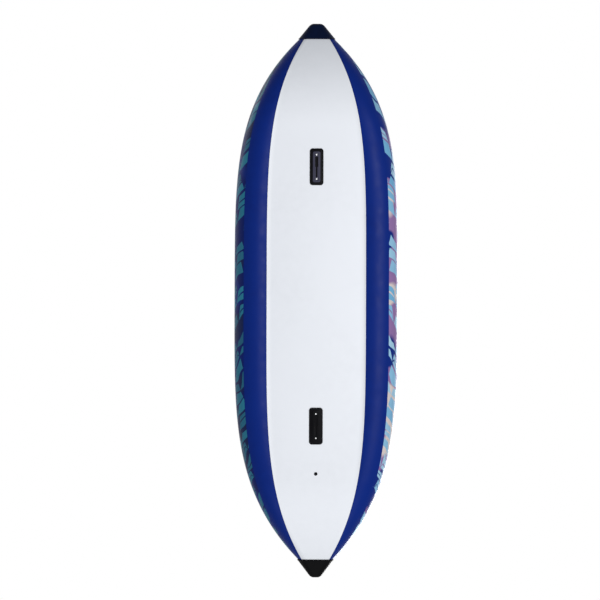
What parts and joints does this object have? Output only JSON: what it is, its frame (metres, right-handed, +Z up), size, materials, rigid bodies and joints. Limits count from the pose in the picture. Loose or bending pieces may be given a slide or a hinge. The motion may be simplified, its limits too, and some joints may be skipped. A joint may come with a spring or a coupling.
{
  "type": "tandem kayak",
  "caption": "Inflatable tandem kayak with side tubes, bottom panel, nose caps, fin boxes, decks, inflation valves, folding seats, carry handles, tow rings and drain.",
  "frame": {"origin": "on the ground under the middle of the hull", "axes": "+X to the bow, +Y to port, +Z up"},
  "size_m": [3.2, 0.943, 0.484],
  "materials": {
    "port_print": "satin",
    "starboard_print": "satin",
    "bottom_pvc": "satin",
    "blue_pvc": "satin",
    "floor_pvc": "matte",
    "eva_mat": "matte",
    "cap_rubber": "satin",
    "black_plastic": "matte",
    "grey_plastic": "matte",
    "steel": "brushed",
    "seal_rubber": "matte",
    "seat_fabric": "matte",
    "webbing": "matte",
    "patch_pvc": "satin",
    "grip_rubber": "matte"
  },
  "bodies": {
    "hull": {"port_tube": "port_print", "starboard_tube": "starboard_print", "bottom_panel": "bottom_pvc", "bow_bottom_panel": "bottom_pvc", "stern_bottom_panel": "bottom_pvc", "port_rub_strip": "blue_pvc", "starboard_rub_strip": "blue_pvc", "floor_chamber": "floor_pvc", "floor_mats": "eva_mat", "bow_deck": "blue_pvc", "stern_deck": "blue_pvc", "bow_cap": "cap_rubber", "stern_cap": "cap_rubber", "bow_fin_box": "black_plastic", "stern_fin_box": "black_plastic", "fin_box_screws": "steel", "drain_body": "black_plastic", "port_valve_body": "black_plastic", "starboard_valve_body": "black_plastic", "floor_valve_body": "black_plastic", "front_seat_base": "seat_fabric", "front_seat_hinge": "webbing", "front_seat_straps": "webbing", "front_strap_adjusters": "black_plastic", "rear_seat_base": "seat_fabric", "rear_seat_hinge": "webbing", "rear_seat_straps": "webbing", "rear_strap_adjusters": "black_plastic", "seat_strap_patches": "patch_pvc", "side_handle_patches": "patch_pvc", "port_handle_strap": "webbing", "port_handle_grip": "grip_rubber", "starboard_handle_strap": "webbing", "starboard_handle_grip": "grip_rubber", "bow_handle_strap": "webbing", "bow_handle_grip": "grip_rubber", "stern_handle_strap": "webbing", "stern_handle_grip": "grip_rubber", "bow_ring_base": "webbing", "stern_ring_base": "webbing", "port_valve_spring": "steel", "starboard_valve_spring": "steel", "floor_valve_spring": "steel"},
    "drain_plug": {"drain_plug": "black_plastic", "drain_seal": "seal_rubber"},
    "port_valve_cap": {"port_valve_cap": "black_plastic"},
    "starboard_valve_cap": {"starboard_valve_cap": "black_plastic"},
    "floor_valve_cap": {"floor_valve_cap": "black_plastic"},
    "port_valve_plunger": {"port_valve_plunger": "grey_plastic"},
    "starboard_valve_plunger": {"starboard_valve_plunger": "grey_plastic"},
    "floor_valve_plunger": {"floor_valve_plunger": "grey_plastic"},
    "front_backrest": {"front_backrest": "seat_fabric"},
    "rear_backrest": {"rear_backrest": "seat_fabric"},
    "bow_tow_ring": {"bow_tow_ring": "steel"},
    "stern_tow_ring": {"stern_tow_ring": "steel"}
  },
  "joints": [
    {"name": "front_back_fold", "type": "hinge", "parent": "hull", "child": "front_backrest", "pos_m": [0.23, 0, 0.143], "axis": [0, 1, 0], "range_deg": [-20, 90], "deforming": ["front_seat_straps", "front_strap_adjusters"]},
    {"name": "rear_back_fold", "type": "hinge", "parent": "hull", "child": "rear_backrest", "pos_m": [-0.68, 0, 0.143], "axis": [0, 1, 0], "range_deg": [-20, 90], "deforming": ["rear_seat_straps", "rear_strap_adjusters"]},
    {"name": "port_cap_lift", "type": "slide", "parent": "hull", "child": "port_valve_cap", "axis": [0, 0, 1], "range_m": [0, 0.05]},
    {"name": "port_plunger_press", "type": "slide", "parent": "hull", "child": "port_valve_plunger", "axis": [0, 0, -1], "range_m": [0, 0.006], "stiffness_N_per_m": 300, "deforming": ["port_valve_spring"]},
    {"name": "starboard_cap_lift", "type": "slide", "parent": "hull", "child": "starboard_valve_cap", "axis": [0, 0, 1], "range_m": [0, 0.05]},
    {"name": "starboard_plunger_press", "type": "slide", "parent": "hull", "child": "starboard_valve_plunger", "axis": [0, 0, -1], "range_m": [0, 0.006], "stiffness_N_per_m": 300, "deforming": ["starboard_valve_spring"]},
    {"name": "floor_cap_lift", "type": "slide", "parent": "hull", "child": "floor_valve_cap", "axis": [0, 0, 1], "range_m": [0, 0.05]},
    {"name": "floor_plunger_press", "type": "slide", "parent": "hull", "child": "floor_valve_plunger", "axis": [0, 0, -1], "range_m": [0, 0.006], "stiffness_N_per_m": 300, "deforming": ["floor_valve_spring"]},
    {"name": "drain_plug_lift", "type": "slide", "parent": "hull", "child": "drain_plug", "axis": [0, 0, 1], "range_m": [0, 0.04]},
    {"name": "bow_ring_swing", "type": "hinge", "parent": "hull", "child": "bow_tow_ring", "pos_m": [1.32225, 0, 0.26286], "axis": [0, -1, 0], "range_deg": [0, 180]},
    {"name": "stern_ring_swing", "type": "hinge", "parent": "hull", "child": "stern_tow_ring", "pos_m": [-1.32225, 0, 0.26177], "axis": [0, 1, 0], "range_deg": [0, 180]}
  ]
}
